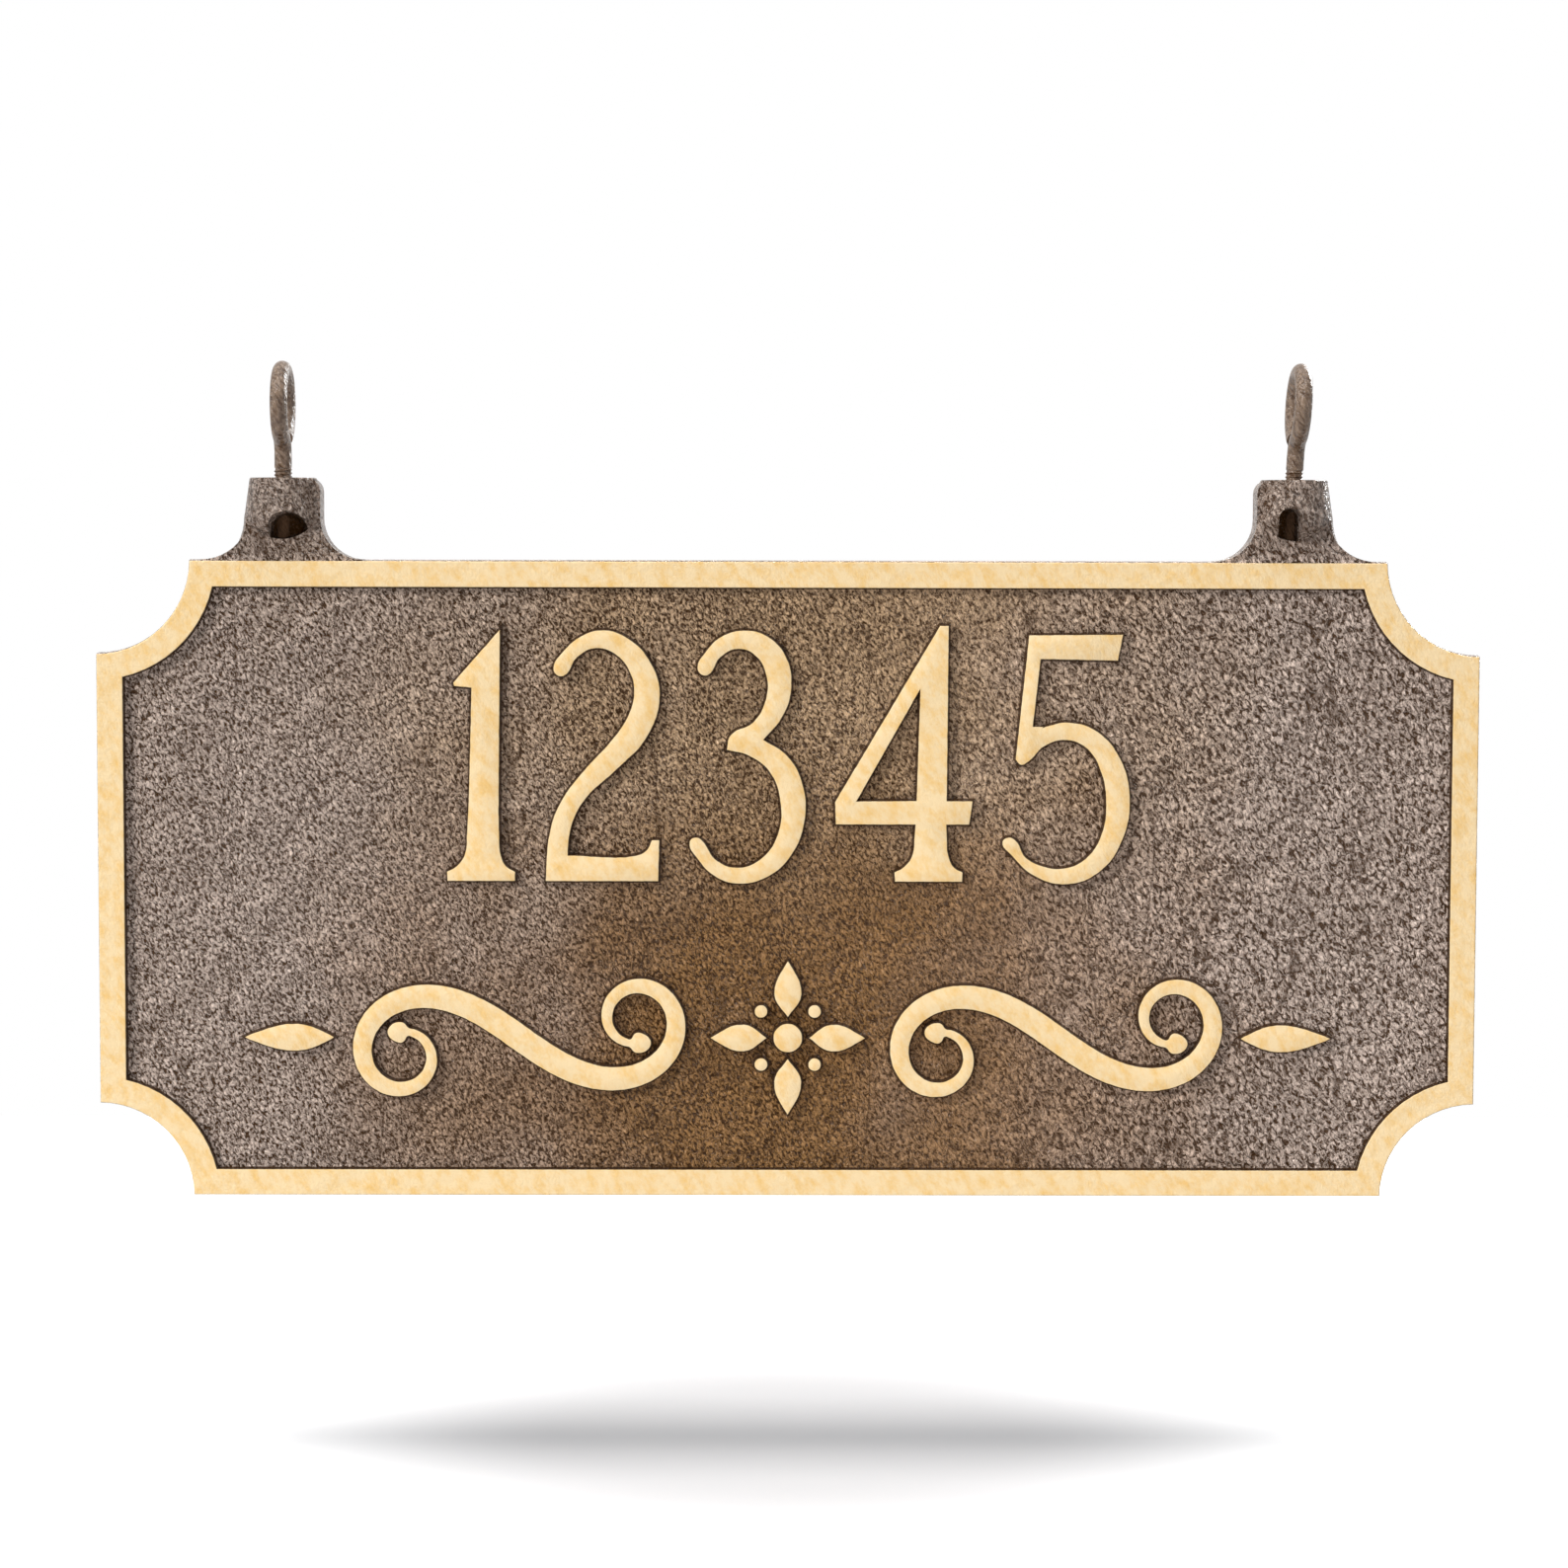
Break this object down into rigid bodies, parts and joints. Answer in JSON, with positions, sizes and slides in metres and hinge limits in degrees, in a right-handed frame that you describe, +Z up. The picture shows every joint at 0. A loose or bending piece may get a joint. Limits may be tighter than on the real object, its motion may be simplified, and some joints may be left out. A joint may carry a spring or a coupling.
{
  "type": "double-sided hanging address sign",
  "caption": "Cast plaque with scooped corners and a raised border on both faces, hung by eye bolts screwed into lugs on its top edge.",
  "frame": {"origin": "midway between the two points, one at the inner top of each eye, where the hooks that hang the sign bear", "axes": "+X along the sign, to the right as its front is read; +Y through its thickness, from the front to the back; +Z up"},
  "size_m": [0.4, 0.025, 0.2421],
  "materials": {
    "bronze_coat": "satin",
    "coated_steel": "satin"
  },
  "bodies": {
    "root": {"sign_casting": "bronze_coat", "left_eye_bolt": "coated_steel", "right_eye_bolt": "coated_steel"}
  },
  "joints": []
}
